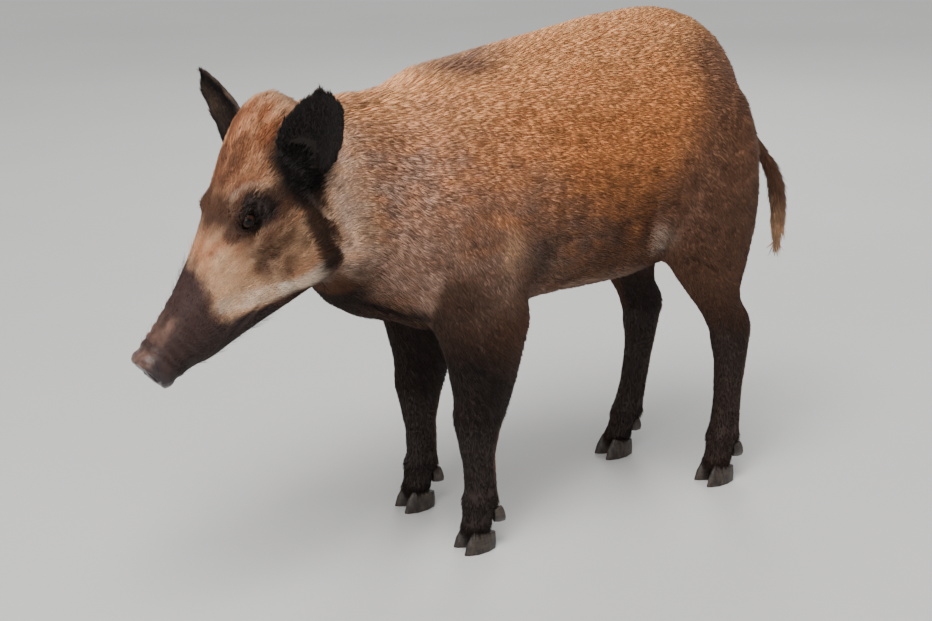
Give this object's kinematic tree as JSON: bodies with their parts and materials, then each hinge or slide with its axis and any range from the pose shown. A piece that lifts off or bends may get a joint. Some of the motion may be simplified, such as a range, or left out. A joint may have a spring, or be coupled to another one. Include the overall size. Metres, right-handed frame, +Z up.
{
  "type": "wild boar",
  "caption": "Young wild boar standing with its head low, as a life-size still model that rests on the flat soles of its claws.",
  "frame": {"origin": "on the floor, under the middle of the box round the whole animal", "axes": "+Z up, the head points to -X, the animal's left side is -Y"},
  "size_m": [0.9606, 0.2826, 0.6488],
  "materials": {
    "coat": "short reddish summer coat, matt",
    "leg_coat": "short dark brown hair, matt",
    "ear_coat": "short near-black hair, matt",
    "snout_skin": "bare moist skin, satin",
    "eye": "wet dark eye, glossy",
    "claw_horn": "worn dark horn, satin"
  },
  "bodies": {
    "root": {"claw_foreleg_left_inner": "claw_horn", "claw_foreleg_left_outer": "claw_horn", "claw_foreleg_right_inner": "claw_horn", "claw_foreleg_right_outer": "claw_horn", "claw_hindleg_left_inner": "claw_horn", "claw_hindleg_left_outer": "claw_horn", "claw_hindleg_right_inner": "claw_horn", "claw_hindleg_right_outer": "claw_horn", "dewclaw_foreleg_left_inner": "claw_horn", "dewclaw_foreleg_left_outer": "claw_horn", "dewclaw_foreleg_right_inner": "claw_horn", "dewclaw_foreleg_right_outer": "claw_horn", "dewclaw_hindleg_left_inner": "claw_horn", "dewclaw_hindleg_left_outer": "claw_horn", "dewclaw_hindleg_right_inner": "claw_horn", "dewclaw_hindleg_right_outer": "claw_horn", "ear_left": "ear_coat", "ear_right": "ear_coat", "eye_left": "eye", "eye_right": "eye", "foreleg_left_lower": "leg_coat", "foreleg_left_upper": "leg_coat", "foreleg_right_lower": "leg_coat", "foreleg_right_upper": "leg_coat", "head": "coat", "hindleg_left_lower": "leg_coat", "hindleg_left_upper": "leg_coat", "hindleg_right_lower": "leg_coat", "hindleg_right_upper": "leg_coat", "lower_jaw": "coat", "neck": "coat", "nose_disc": "snout_skin", "tail_dock": "leg_coat", "tail_tassel": "leg_coat", "trunk": "coat"}
  },
  "joints": []
}
